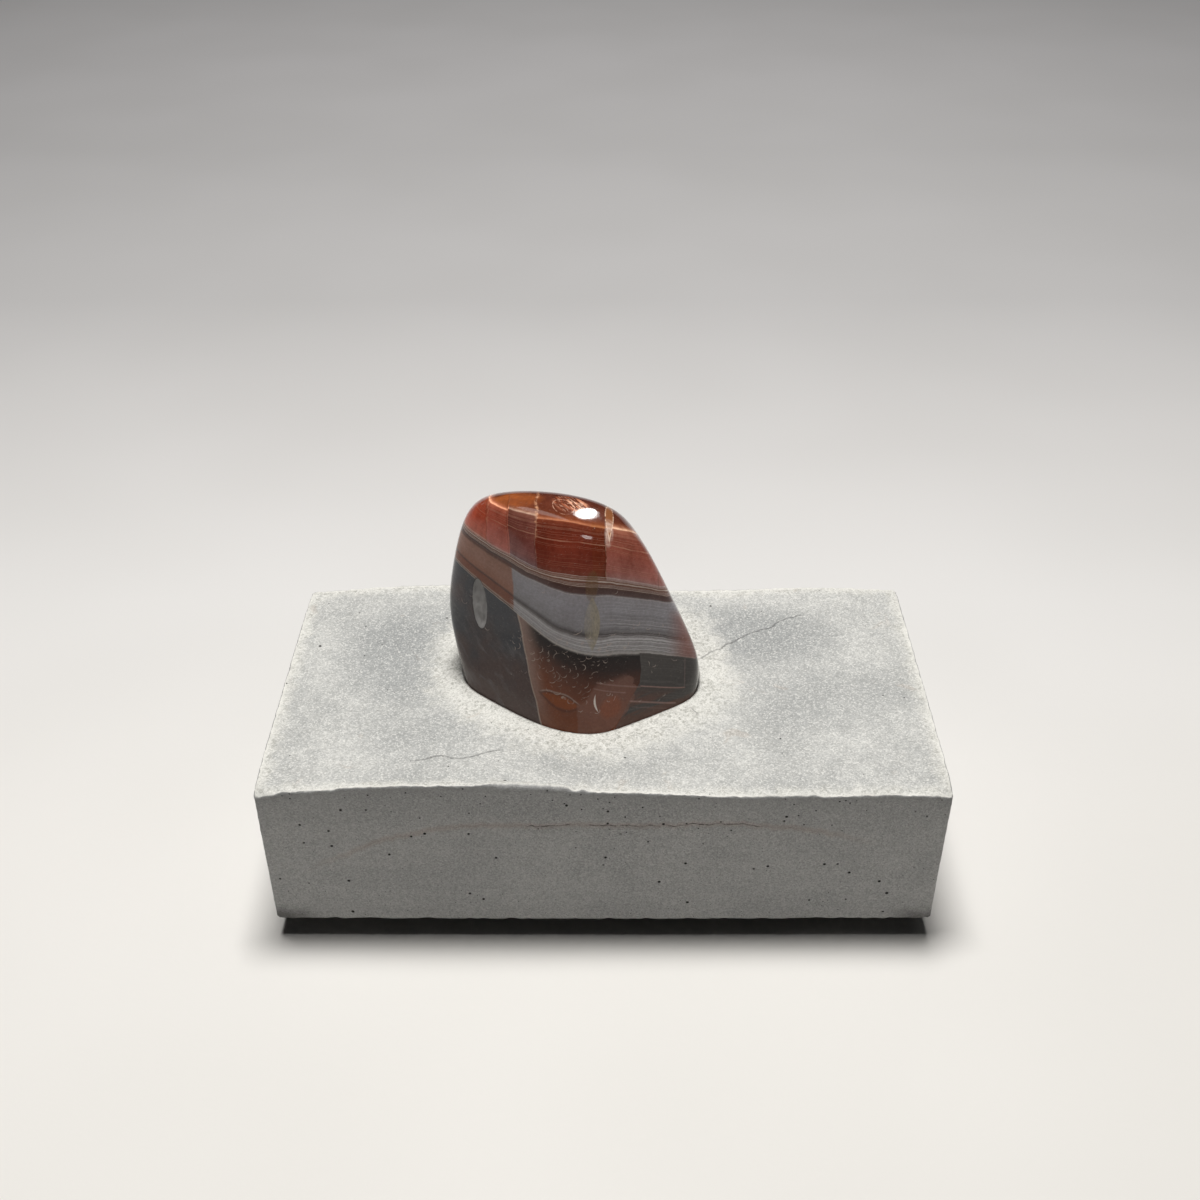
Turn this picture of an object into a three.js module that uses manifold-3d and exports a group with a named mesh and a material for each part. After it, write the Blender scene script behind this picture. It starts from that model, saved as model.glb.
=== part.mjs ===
// A polished Lake Superior agate standing in the cast cement base it is shown on.
// The stone is one solid: a tumbled nugget whose flats run into each other in soft ridges.
// Its lower fifth sits in a socket that follows its shape, and the base stands on four
// low round bumpers. Millimetres, +Z up, origin on the floor under the middle of the base.
import * as THREE from "three";
import { mergeVertices } from "three/addons/utils/BufferGeometryUtils.js";
import Module from "manifold-3d";

const wasm = await Module();
wasm.setup();

// Round bumpers under the base
const bumper = {
  radius: 4.5,
  footRadius: 3.2, // flat that stands on the floor
  kneeRadius: 4.11, // where its rounded shoulder turns upward
  kneeHeight: 0.56,
  shoulder: 1.6, // height at which it reaches its full width
  height: 3.1,
  insetX: 12, // from the base's ends to the bumper's middle
  insetY: 11,
  sides: 28,
};

// Cast base: outer size at the top, narrower below by the mould's draft
const base = {
  length: 100,
  depth: 53,
  height: 25.4,
  draft: 0.4, // each side, over the whole height
  sideBulge: 0.15, // how far the middle of each side swells outward
  cornerRadius: 0.7,
  smallestRadius: 0.3, // of the corners on the rings set inward
  bottomBevel: 0.7,
  arris: 0.4, // worn top edge
  cornerSteps: 3, // edges around each corner and along each side
  lengthSteps: 44,
  depthSteps: 16,
};
const baseBottom = bumper.height;
const baseTop = baseBottom + base.height;

// Unevenness of the poured top. It rises and dips slowly along its two long edges,
// sinks at its corners, and is pushed up a little around the stone.
const top = {
  frontWaves: [
    { x: -22, reach: 16, rise: 0.9 },
    { x: 22, reach: 15, rise: -0.65 },
  ],
  backWaves: [
    { x: -28, reach: 15, rise: 1.3 },
    { x: 38, reach: 15, rise: 0.7 },
  ],
  frontCornerDrop: 1.0,
  backCornerDrop: 0.4,
  cornerSharpness: 16,
  collarRise: 0.35,
  collarReach: 4,
  collarRadius: 18,
};

// Broken places along the front top edge: place along the length, half width, depth.
// A higher squareness gives each a flatter back and steeper ends.
const frontChips = [
  { x: -10.5, halfWidth: 5.6, depth: 1.1 },
  { x: -2.8, halfWidth: 0.9, depth: 0.6 },
];
const chipSquareness = 4;

// The stone: each flat is an outward direction and its distance from the middle
const stone = {
  middle: new THREE.Vector3(-5, 3, baseTop + 12),
  ridgeSharpness: 14, // higher gives tighter ridges between the flats
  flats: [
    { name: "front left", azimuth: 230, elevation: 9, distance: 12.0 },
    { name: "front left of the rounding", azimuth: 247, elevation: 9, distance: 13.6 },
    { name: "rounded front", azimuth: 264, elevation: 9, distance: 14.9 },
    { name: "rounded front, higher", azimuth: 264, elevation: 14.5, distance: 13.4 },
    { name: "front right", azimuth: 301.6, elevation: 14.8, distance: 12.9 },
    { name: "upper front", azimuth: 268, elevation: 38, distance: 17.4 },
    { name: "front edge of the top", azimuth: 282, elevation: 64, distance: 20.4 },
    { name: "left end, low", azimuth: 182, elevation: -14, distance: 19.3 },
    { name: "left end, high", azimuth: 178, elevation: 14, distance: 19.7 },
    { name: "top left corner", azimuth: 170, elevation: 54, distance: 23.0 },
    { name: "top", azimuth: 60, elevation: 84, distance: 20.6 },
    { name: "top right", azimuth: 8.7, elevation: 64, distance: 17.9 },
    { name: "right shoulder, front", azimuth: 8.1, elevation: 24.4, distance: 16.9 },
    { name: "right shoulder", azimuth: 20.4, elevation: 21.8, distance: 14.4 },
    { name: "right end", azimuth: 10.7, elevation: 18, distance: 19.5 },
    { name: "right end, low", azimuth: 352, elevation: -10, distance: 22.0 },
    { name: "back", azimuth: 88, elevation: 5, distance: 13.0 },
    { name: "back left", azimuth: 138, elevation: 5, distance: 17.5 },
    { name: "back right", azimuth: 65.6, elevation: 37.7, distance: 15.8 },
    { name: "back edge of the top", azimuth: 90, elevation: 52, distance: 17.5 },
    { name: "underside", azimuth: 0, elevation: -90, distance: 20.0 },
  ],
  meshDetail: 13,
};
const socketGap = 0.3;
const weldDistance = 1e-4;

// Unpolished oval pit towards the stone's left end
const pit = {
  azimuth: 195.5,
  elevation: 13.6,
  lean: 18,
  halfWidth: 1.6,
  halfHeight: 4.1,
  depth: 0.45,
  sides: 24,
  rings: 14,
};

function direction({ azimuth, elevation }) {
  const a = THREE.MathUtils.degToRad(azimuth);
  const e = THREE.MathUtils.degToRad(elevation);
  return new THREE.Vector3(Math.cos(a) * Math.cos(e), Math.sin(a) * Math.cos(e), Math.sin(e));
}

// Distance from the stone's middle to its surface along a unit vector. The flats are
// blended by a power sum, which leaves their middles flat and rounds where they meet.
function stoneReach(outward) {
  let sum = 0;
  for (const flat of stone.flats) {
    const share = Math.max(0, outward.dot(direction(flat)) / flat.distance);
    sum += share ** stone.ridgeSharpness;
  }
  return sum ** (-1 / stone.ridgeSharpness);
}

function stonePoint(outward, extra = 0) {
  return outward.clone().multiplyScalar(stoneReach(outward) + extra).add(stone.middle);
}

function stoneGeometry(extra = 0) {
  const geometry = new THREE.IcosahedronGeometry(1, stone.meshDetail);
  const position = geometry.getAttribute("position");
  const vertex = new THREE.Vector3();
  for (let i = 0; i < position.count; i++) {
    vertex.fromBufferAttribute(position, i).normalize();
    position.setXYZ(i, ...stonePoint(vertex, extra).toArray());
  }
  return geometry;
}

// The scoop for the pit: a slim ellipsoid in the stone's skin, its upper end leaning left
function pitGeometry() {
  const place = (turn, lift) =>
    stonePoint(direction({ azimuth: pit.azimuth + turn, elevation: pit.elevation + lift }));
  const across = place(1, 0).sub(place(-1, 0)).normalize();
  const up = place(0, 1).sub(place(0, -1)).normalize();
  const outward = across.clone().cross(up).normalize();
  across.applyAxisAngle(outward, THREE.MathUtils.degToRad(pit.lean));
  const halfThickness = 2 * pit.depth;
  const scoop = new THREE.SphereGeometry(1, pit.sides, pit.rings);
  scoop.scale(pit.halfWidth, halfThickness, pit.halfHeight);
  const sunk = place(0, 0).addScaledVector(outward, halfThickness - pit.depth);
  const frame = new THREE.Matrix4().makeBasis(across, outward, across.clone().cross(outward));
  return scoop.applyMatrix4(frame.setPosition(sunk));
}

function solidOf(geometry) {
  const bare = geometry.clone();
  bare.deleteAttribute("normal");
  bare.deleteAttribute("uv");
  const merged = mergeVertices(bare, weldDistance);
  return new wasm.Manifold(
    new wasm.Mesh({
      numProp: 3,
      vertProperties: merged.getAttribute("position").array,
      triVerts: new Uint32Array(merged.index.array),
    }),
  );
}

function geometryOf(solid) {
  const mesh = solid.getMesh();
  const geometry = new THREE.BufferGeometry();
  geometry.setAttribute("position", new THREE.BufferAttribute(mesh.vertProperties, 3));
  geometry.setIndex(new THREE.BufferAttribute(mesh.triVerts, 1));
  geometry.computeVertexNormals();
  return geometry;
}

function bell(distance, reach) {
  return Math.exp(-((distance / reach) ** 2));
}

// Height of the poured top over the floor, at a place in plan
function topHeight(x, y) {
  const across = Math.abs(x) / (base.length / 2);
  const deep = y / (base.depth / 2);
  const waves = deep < 0 ? top.frontWaves : top.backWaves;
  const cornerDrop = deep < 0 ? top.frontCornerDrop : top.backCornerDrop;
  const rise = waves.reduce((sum, wave) => sum + wave.rise * bell(x - wave.x, wave.reach), 0);
  const drop = cornerDrop * (across * Math.abs(deep)) ** top.cornerSharpness;
  const fromStone = Math.hypot(x - stone.middle.x, y - stone.middle.y);
  const pastCollar = Math.max(0, fromStone - top.collarRadius);
  return baseTop + rise * deep ** 2 - drop + top.collarRise * bell(pastCollar, top.collarReach);
}

// How far the top edge has broken back at a place along the front
function chipDepth(x, y) {
  if (y > -base.depth / 2 + base.cornerRadius) return 0;
  return frontChips.reduce(
    (sum, chip) => sum + chip.depth * Math.exp(-(Math.abs((x - chip.x) / chip.halfWidth) ** chipSquareness)),
    0,
  );
}

// Rounded rectangle in plan, inset from the base's greatest size, as a closed ring.
// Every ring has the same count of points, in step with each other.
function outline(inset) {
  const halfLength = base.length / 2 - base.sideBulge - inset;
  const halfDepth = base.depth / 2 - base.sideBulge - inset;
  const radius = Math.max(base.cornerRadius - inset, base.smallestRadius);
  const corners = [
    [halfLength - radius, -halfDepth + radius],
    [halfLength - radius, halfDepth - radius],
    [-halfLength + radius, halfDepth - radius],
    [-halfLength + radius, -halfDepth + radius],
  ];
  const points = [];
  corners.forEach(([cornerX, cornerY], side) => {
    for (let step = 0; step <= base.cornerSteps; step++) {
      const turn = ((side - 1 + step / base.cornerSteps) * Math.PI) / 2;
      points.push([cornerX + radius * Math.cos(turn), cornerY + radius * Math.sin(turn)]);
    }
    const [endX, endY] = points[points.length - 1];
    const [nextX, nextY] = corners[(side + 1) % corners.length];
    const alongX = side % 2 === 1;
    const steps = alongX ? base.lengthSteps : base.depthSteps;
    for (let step = 1; step < steps; step++) {
      const share = step / steps;
      points.push([
        alongX ? endX + (nextX - endX) * share : endX,
        alongX ? endY : endY + (nextY - endY) * share,
      ]);
    }
  });
  return points.map(([x, y]) => {
    const across = x / halfLength;
    const deep = y / halfDepth;
    return [
      x + base.sideBulge * across * (1 - deep ** 2),
      y + base.sideBulge * deep * (1 - across ** 2),
    ];
  });
}

// Closed shell through a stack of rings, with a middle point at each end
function shellThrough(rings, firstMiddle, lastMiddle) {
  const count = rings[0].length;
  const vertices = [...rings.flat(), firstMiddle, lastMiddle].flat();
  const first = rings.length * count;
  const last = first + 1;
  const faces = [];
  for (let i = 0; i < count; i++) {
    const next = (i + 1) % count;
    faces.push(first, next, i);
    for (let ring = 0; ring + 1 < rings.length; ring++) {
      const low = ring * count;
      const high = low + count;
      faces.push(low + i, low + next, high + next, low + i, high + next, high + i);
    }
    const top = (rings.length - 1) * count;
    faces.push(last, top + i, top + next);
  }
  const geometry = new THREE.BufferGeometry();
  geometry.setAttribute("position", new THREE.Float32BufferAttribute(vertices, 3));
  geometry.setIndex(faces);
  return geometry;
}

// Rings of the top, as shares of the way from the stone's middle to the edge
const topShares = [0.95, 0.87, 0.78, 0.68, 0.57, 0.45];

function baseGeometry() {
  const level = (inset, z) => outline(inset).map(([x, y]) => [x, y, z]);
  const sideTop = outline(0).map(([x, y]) => [
    x,
    y,
    topHeight(x, y) - base.arris - chipDepth(x, y),
  ]);
  const edge = outline(base.arris).map(([x, y]) => [x, y + chipDepth(x, y), topHeight(x, y)]);
  const { x: middleX, y: middleY } = stone.middle;
  const inward = topShares.map((share) =>
    edge.map(([edgeX, edgeY]) => {
      const x = middleX + (edgeX - middleX) * share;
      const y = middleY + (edgeY - middleY) * share;
      return [x, y, topHeight(x, y)];
    }),
  );
  const rings = [
    level(base.draft + base.bottomBevel, baseBottom),
    level(base.draft, baseBottom + base.bottomBevel),
    sideTop,
    edge,
    ...inward,
  ];
  return shellThrough(
    rings,
    [0, 0, baseBottom],
    [middleX, middleY, topHeight(middleX, middleY)],
  );
}

// Low dome with its flattened crown on the floor
function bumperGeometry() {
  const { radius, footRadius, kneeRadius, kneeHeight, shoulder, height, sides } = bumper;
  const profile = [
    [0, 0],
    [footRadius, 0],
    [kneeRadius, kneeHeight],
    [radius, shoulder],
    [radius, height],
    [0, height],
  ].map(([across, up]) => new THREE.Vector2(across, up));
  return new THREE.LatheGeometry(profile, sides).rotateX(Math.PI / 2);
}

const agateMaterial = new THREE.MeshStandardMaterial({
  color: 0x7a3a26,
  roughness: 0.12,
  metalness: 0,
});
const cementMaterial = new THREE.MeshStandardMaterial({
  color: 0xa9aba6,
  roughness: 0.92,
  metalness: 0,
});
const rubberMaterial = new THREE.MeshStandardMaterial({
  color: 0x26272a,
  roughness: 0.8,
  metalness: 0,
});

function named(name, geometry, material) {
  const mesh = new THREE.Mesh(geometry, material);
  mesh.name = name;
  return mesh;
}

const group = new THREE.Group();

const agateSolid = solidOf(stoneGeometry()).subtract(solidOf(pitGeometry()));
group.add(named("agate", geometryOf(agateSolid), agateMaterial));

const socketed = solidOf(baseGeometry()).subtract(solidOf(stoneGeometry(socketGap)));
group.add(named("cast_base", geometryOf(socketed), cementMaterial));

const corners = {
  front_left: [-1, -1],
  front_right: [1, -1],
  back_left: [-1, 1],
  back_right: [1, 1],
};
for (const [corner, [sideX, sideY]] of Object.entries(corners)) {
  const mesh = named(`bumper_${corner}`, bumperGeometry(), rubberMaterial);
  mesh.position.x = sideX * (base.length / 2 - bumper.insetX);
  mesh.position.y = sideY * (base.depth / 2 - bumper.insetY);
  group.add(mesh);
}

export default group;
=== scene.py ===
import math

import bmesh
import bpy
import numpy as np
from mathutils import Matrix, Vector, noise


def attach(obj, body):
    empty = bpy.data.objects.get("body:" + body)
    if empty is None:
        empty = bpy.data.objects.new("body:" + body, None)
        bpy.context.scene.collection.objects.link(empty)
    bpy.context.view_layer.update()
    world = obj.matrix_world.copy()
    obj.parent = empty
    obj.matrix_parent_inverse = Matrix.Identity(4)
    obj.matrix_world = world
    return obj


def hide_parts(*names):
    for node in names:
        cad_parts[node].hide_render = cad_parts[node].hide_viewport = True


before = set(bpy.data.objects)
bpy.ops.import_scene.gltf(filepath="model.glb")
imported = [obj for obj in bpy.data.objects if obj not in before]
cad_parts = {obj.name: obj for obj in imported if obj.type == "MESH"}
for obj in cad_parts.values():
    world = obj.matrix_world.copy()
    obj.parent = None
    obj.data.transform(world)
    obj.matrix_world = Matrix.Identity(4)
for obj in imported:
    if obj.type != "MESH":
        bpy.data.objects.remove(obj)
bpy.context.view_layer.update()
mm = 0.001
print("frame loaded with", len(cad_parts), "nodes")


# Shader building: new nodes go into the tree that was opened last

opened = []


def feed(socket, value):
    if isinstance(value, bpy.types.NodeSocket):
        socket.id_data.links.new(value, socket)
    elif socket.type == "RGBA":
        socket.default_value = (*value, 1.0)
    else:
        socket.default_value = value


def addNode(kind, inputs=None, **settings):
    node = opened[-1].nodes.new("ShaderNode" + kind)
    for name, value in settings.items():
        setattr(node, name, value)
    for name, value in (inputs or {}).items():
        feed(node.inputs[name], value)
    return node


def calc(operation, *values, kind="Math"):
    node = addNode(kind, operation=operation)
    for socket, value in zip(node.inputs, values):
        feed(socket, value)
    return node.outputs["Value" if operation == "DOT_PRODUCT" else 0]


def total(*values):
    result = values[0]
    for value in values[1:]:
        result = calc("ADD", result, value)
    return result


def product(*values):
    result = values[0]
    for value in values[1:]:
        result = calc("MULTIPLY", result, value)
    return result


def minus(value, other):
    return calc("SUBTRACT", value, other)


def over(value, other):
    return calc("DIVIDE", value, other)


# The value times a factor, plus a start
def scaled(value, factor, start):
    return calc("MULTIPLY_ADD", value, factor, start)


def absolute(value):
    return calc("ABSOLUTE", value)


def highest(value, other):
    return calc("MAXIMUM", value, other)


# 0 at start and 1 at end, eased; start may be the higher number
def ramped(value, start, end):
    inputs = {"Value": value, "From Min": start, "From Max": end}
    return addNode("MapRange", inputs, interpolation_type="SMOOTHSTEP").outputs["Result"]


def within(value, low, high, soft):
    return product(ramped(value, low - soft, low + soft), ramped(value, high + soft, high - soft))


def paint(base, colour, mask, how="MIX"):
    node = addNode("Mix", data_type="RGBA", blend_type=how)
    for index, value in ((0, mask), (6, base), (7, colour)):
        feed(node.inputs[index], value)
    return node.outputs[2]


# Colours at levels from low to high
def colourStops(value, stops, low, high, steps="LINEAR"):
    node = addNode("ValToRGB", {"Fac": over(minus(value, low), high - low)})
    bar = node.color_ramp
    bar.interpolation = steps
    bar.elements.remove(bar.elements[1])
    for number, (level, colour) in enumerate(stops):
        place = (level - low) / (high - low)
        element = bar.elements[0] if number == 0 else bar.elements.new(place)
        element.position = place
        element.color = (*colour, 1.0)
    return node.outputs["Color"]


def cloud(place, size, detail=3.0, roughness=0.5, distortion=0.0, output="Fac"):
    node = addNode("TexNoise", {"Vector": place, "Scale": 1 / size, "Detail": detail,
                                "Roughness": roughness, "Distortion": distortion})
    return node.outputs[output]


def cells(place, scale=1.0, **settings):
    return addNode("TexVoronoi", {"Vector": place, "Scale": scale, "Randomness": 1.0}, **settings)


def split(colour):
    return addNode("SeparateColor", {"Color": colour}).outputs


def axes(place):
    return addNode("SeparateXYZ", {"Vector": place}).outputs


def attribute(name):
    return addNode("Attribute", attribute_name=name).outputs["Fac"]


# Object coordinates in millimetres from the origin given
def placeInMm(origin=(0.0, 0.0, 0.0)):
    start = tuple(-part for part in origin)
    return calc("MULTIPLY_ADD", addNode("TexCoord").outputs["Object"], (1000.0,) * 3, start,
                kind="VectorMath")


# A place in units of the size given
def inUnits(place, size):
    sizes = addNode("CombineXYZ", {axis: size for axis in "XYZ"})
    return calc("DIVIDE", place, sizes.outputs[0], kind="VectorMath")


def stretched(place, factors, turn=(0.0, 0.0, 0.0)):
    if any(turn):
        place = addNode("Mapping", {"Vector": place, "Rotation": turn}).outputs[0]
    return addNode("Mapping", {"Vector": place, "Scale": factors}).outputs[0]


# An empty node group with its sockets; returns the tree and its two ends
def newGroup(name, inputs, outputs):
    tree = bpy.data.node_groups.new(name, "ShaderNodeTree")
    for direction, sockets in (("INPUT", inputs), ("OUTPUT", outputs)):
        for label, kind in sockets.items():
            tree.interface.new_socket(label, in_out=direction, socket_type="NodeSocket" + kind)
    opened.append(tree)
    return tree, tree.nodes.new("NodeGroupInput").outputs, tree.nodes.new("NodeGroupOutput").inputs


def useGroup(group, **inputs):
    node = opened[-1].nodes.new("ShaderNodeGroup")
    node.node_tree = group
    for label, value in inputs.items():
        feed(node.inputs[label], value)
    return node.outputs


# A Principled material with its fixed values set on the shader's own sockets
def newMaterial(name, **fixed):
    material = bpy.data.materials.new(name)
    material.use_nodes = True
    opened.append(material.node_tree)
    shader = material.node_tree.nodes["Principled BSDF"]
    for label, value in fixed.items():
        shader.inputs[label.replace("_", " ")].default_value = value
    return material, shader.inputs


def bump(height, strength, distance):
    return addNode("Bump", {"Height": height, "Strength": strength, "Distance": distance}).outputs["Normal"]


# Shared effects

# Sandy or moulded grain: its height, and a speckle of lighter and darker grains
def buildSandGrain():
    tree, given, result = newGroup(
        "sandGrain",
        {"Place": "Vector", "Size": "Float", "Softness": "Float"},
        {"Height": "Float", "Speckle": "Float"},
    )
    place = inUnits(given["Place"], given["Size"])
    grains = cells(place, feature="SMOOTH_F1")
    feed(grains.inputs["Smoothness"], given["Softness"])
    fine = cloud(place, 0.6, detail=4, roughness=0.65)
    feed(result["Height"], total(product(grains.outputs["Distance"], -0.6), fine))
    tone = split(grains.outputs["Color"])[0]
    feed(result["Speckle"], scaled(fine, 0.6, product(tone, 0.4)))
    return tree


# Scattered small round holes: 1 inside a hole
def buildPinholes():
    tree, given, result = newGroup(
        "pinholes",
        {"Place": "Vector", "Spacing": "Float", "Radius": "Float", "Share": "Float"},
        {"Hole": "Float"},
    )
    near = cells(inUnits(given["Place"], given["Spacing"]))
    parts = split(near.outputs["Color"])
    present = calc("LESS_THAN", parts[0], given["Share"])
    size = product(given["Radius"], scaled(parts[1], 0.8, 0.4))
    size = over(size, given["Spacing"])
    away = over(near.outputs["Distance"], size)
    inside = ramped(away, 1.15, 0.7)
    feed(result["Hole"], product(inside, present))
    return tree


# Thin parallel lines in a layered stone, uneven in strength: 1 on a line
def buildFineLayers():
    tree, given, result = newGroup(
        "fineLayers",
        {"Level": "Float", "Spacing": "Float", "Unevenness": "Float", "Thinness": "Float",
         "Place": "Vector"},
        {"Lines": "Float"},
    )
    turns = over(given["Level"], given["Spacing"])
    drift = addNode("TexNoise", {"W": product(turns, 0.23), "Scale": 1.0, "Detail": 2.0},
                    noise_dimensions="1D").outputs["Fac"]
    turns = total(turns, product(drift, 5.0))
    wave = calc("SINE", product(turns, 2 * math.pi))
    wave = ramped(wave, given["Thinness"], 0.97)
    strength = addNode("TexNoise", {"W": turns, "Scale": 0.9, "Detail": 1.0},
                       noise_dimensions="1D").outputs["Fac"]
    strength = ramped(strength, 0.3, 0.7)
    patchy = ramped(cloud(given["Place"], 3.5, detail=2), 0.35, 0.6)
    uneven = product(strength, scaled(patchy, 0.7, 0.3))
    keep = minus(1.0, given["Unevenness"])
    strength = total(product(uneven, given["Unevenness"]), keep)
    feed(result["Lines"], product(wave, strength))
    return tree


# Crescent-shaped bruises, each an arc around a scattered middle: 1 on an arc
def buildBruises():
    tree, given, result = newGroup(
        "bruises",
        {"Place": "Vector", "Spacing": "Float", "Reach": "Float", "Share": "Float"},
        {"Arc": "Float"},
    )
    near = cells(given["Place"], over(1.0, given["Spacing"]))
    away = product(near.outputs["Distance"], given["Spacing"])
    parts = split(near.outputs["Color"])
    radius = product(given["Reach"], scaled(parts[1], 0.9, 0.55))
    arc = ramped(absolute(minus(away, radius)), 0.075, 0.02)
    fromMiddle = calc("SUBTRACT", given["Place"], near.outputs["Position"], kind="VectorMath")
    heading = calc("SUBTRACT", near.outputs["Color"], (0.25, 0.5, 0.75), kind="VectorMath")
    units = [calc("NORMALIZE", vector, kind="VectorMath") for vector in (fromMiddle, heading)]
    facing = ramped(calc("DOT_PRODUCT", *units, kind="VectorMath"), 0.0, 0.7)
    present = calc("LESS_THAN", parts[2], given["Share"])
    feed(result["Arc"], product(arc, facing, present))
    return tree


sandGrain = buildSandGrain()
pinholes = buildPinholes()
fineLayers = buildFineLayers()
bruises = buildBruises()
print("shared node groups built")


# Stage, camera and light

stage = {
    "paperSize": 3.0,
    "paperShadeByDepth": [  # mm behind the base, and the paper's colour there with painted light falloff
        (-90, (0.8, 0.785, 0.755)),
        (0, (0.78, 0.765, 0.742)),
        (66, (0.74, 0.73, 0.72)),
        (131, (0.65, 0.64, 0.635)),
        (225, (0.545, 0.538, 0.54)),
        (370, (0.575, 0.568, 0.573)),
        (500, (0.7, 0.69, 0.7)),
        (640, (0.84, 0.83, 0.84)),
    ],
    "cameraAt": (0.8, -188.5, 169.1),  # mm
    "lookDown": 33.56,  # degrees
    "lookLeft": 0.38,
    "roll": 0.27,
    "lens": 45.0,
    "roomLight": (0.9, 0.94, 1.0),
    "roomStrength": 0.012,
    "overhead": {"at": (-0.02, 0.042, 0.72), "size": (0.26, 0.16), "watts": 6.0},
    # Lamps that only show as reflections in the polish: azimuth and elevation seen from the stone
    "window": {"direction": (70, 28), "away": 0.62, "size": (0.048, 0.3), "lean": 12, "watts": 1.75},
    "windowPane": {"direction": (326, 57.5), "away": 0.62, "size": (0.13, 0.15), "lean": 0, "watts": 0.55},
    "ceiling": {"direction": (95, 66), "away": 0.62, "size": (0.34, 0.16), "lean": 0, "watts": 0.5},
}


def buildCamera():
    down, left, roll = (math.radians(stage[part]) for part in ("lookDown", "lookLeft", "roll"))
    forward = Vector((-math.sin(left) * math.cos(down), math.cos(left) * math.cos(down), -math.sin(down)))
    across = Vector((math.cos(left), math.sin(left), 0.0))
    below = forward.cross(across)
    right = across * math.cos(roll) + below * math.sin(roll)
    below = below * math.cos(roll) - across * math.sin(roll)
    data = bpy.data.cameras.new("camera")
    data.sensor_width = 36.0
    data.lens = stage["lens"]
    data.clip_start = 0.01
    camera = bpy.data.objects.new("camera", data)
    bpy.context.scene.collection.objects.link(camera)
    turn = Matrix((right, -below, -forward)).transposed().to_4x4()
    camera.matrix_world = Matrix.Translation(Vector(stage["cameraAt"]) * mm) @ turn
    bpy.context.scene.camera = camera


def addSoftLight(name, at, size, watts, aim, onlyShine, lean=0):
    data = bpy.data.lights.new(name, "AREA")
    data.shape = "ELLIPSE" if onlyShine else "RECTANGLE"
    data.size, data.size_y = size
    data.energy = watts
    data.color = (1.0, 0.985, 0.96)
    light = bpy.data.objects.new(name, data)
    bpy.context.scene.collection.objects.link(light)
    light.location = at
    facing = (Vector(aim) - Vector(at)).to_track_quat("-Z", "Y").to_matrix()
    light.rotation_euler = (facing @ Matrix.Rotation(math.radians(lean), 3, "Z")).to_euler()
    light.visible_camera = False
    light.visible_diffuse = not onlyShine
    light.visible_glossy = onlyShine
    return light


def lampPlace(direction, away):
    azimuth, elevation = (math.radians(angle) for angle in direction)
    flat = away * math.cos(elevation)
    return (flat * math.cos(azimuth), flat * math.sin(azimuth), 0.057 + away * math.sin(elevation))


def buildLights():
    world = bpy.data.worlds.new("room")
    bpy.context.scene.world = world
    world.use_nodes = True
    background = world.node_tree.nodes["Background"]
    background.inputs["Color"].default_value = (*stage["roomLight"], 1.0)
    background.inputs["Strength"].default_value = stage["roomStrength"]
    key = stage["overhead"]
    addSoftLight("overhead", key["at"], key["size"], key["watts"], (0.0, 0.0, 0.03), onlyShine=False)
    for name in ("window", "windowPane", "ceiling"):
        lamp = stage[name]
        addSoftLight(name, lampPlace(lamp["direction"], lamp["away"]), lamp["size"], lamp["watts"],
                     (-0.003, 0.004, 0.057), onlyShine=True, lean=lamp["lean"])
    bpy.context.scene.view_settings.view_transform = "Standard"


def buildPaper():
    half = stage["paperSize"] / 2
    mesh = bpy.data.meshes.new("paper")
    mesh.from_pydata([(-half, -half, 0), (half, -half, 0), (half, half, 0), (-half, half, 0)], [],
                     [(0, 1, 2, 3)])
    paper = bpy.data.objects.new("paper", mesh)
    bpy.context.scene.collection.objects.link(paper)
    material, shader = newMaterial("stagePaper", IOR=1.45, Specular_IOR_Level=0.25)
    place = placeInMm()
    depth = axes(place)["Y"]
    paperShades = stage["paperShadeByDepth"]
    # The paper's colour changes with depth as painted light falloff
    tone = colourStops(depth, paperShades, paperShades[0][0], paperShades[-1][0])
    tooth = cloud(place, 0.7, detail=2)
    shade = ramped(cloud(place, 60.0, detail=1), 0.2, 0.8)
    tone = paint(tone, (0.9, 0.9, 0.89), product(shade, 0.35), "MULTIPLY")
    feed(shader["Base Color"], tone)
    feed(shader["Roughness"], scaled(tooth, 0.1, 0.82))
    feed(shader["Normal"], bump(tooth, 0.12, 0.0001))
    mesh.materials.append(material)


buildCamera()
buildLights()
buildPaper()
print("camera, lights and paper ready")


# Mesh building

# Quads between rings of equal count, as an array
def ringFaces(rings, count, startFrom=0):
    faces = []
    column = np.arange(count)
    after = (column + 1) % count
    for ring in range(rings - 1):
        low = startFrom + ring * count
        high = low + count
        faces.append(np.column_stack([low + column, low + after, high + after, high + column]))
    return np.concatenate(faces)


# A smooth piece riding on the one body; vertices in mm
def newPiece(name, vertices, faces, material):
    mesh = bpy.data.meshes.new(name)
    mesh.from_pydata((np.asarray(vertices) * mm).tolist(), [], [list(map(int, face)) for face in faces])
    mesh.polygons.foreach_set("use_smooth", [True] * len(mesh.polygons))
    mesh.materials.append(material)
    piece = bpy.data.objects.new(name, mesh)
    bpy.context.scene.collection.objects.link(piece)
    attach(piece, "root")
    return piece


def setValues(piece, name, values):
    layer = piece.data.attributes.new(name, "FLOAT", "POINT")
    layer.data.foreach_set("value", np.asarray(values, dtype=np.float32))


# Smooth noise about zero at each point, with features of the given size in mm
def roughness3d(points, size, octaves=3, shift=0.0):
    scaled = np.asarray(points) / size + shift
    return np.array([noise.fractal(Vector(point), 1.0, 2.0, octaves) for point in scaled])


# The agate

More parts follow.
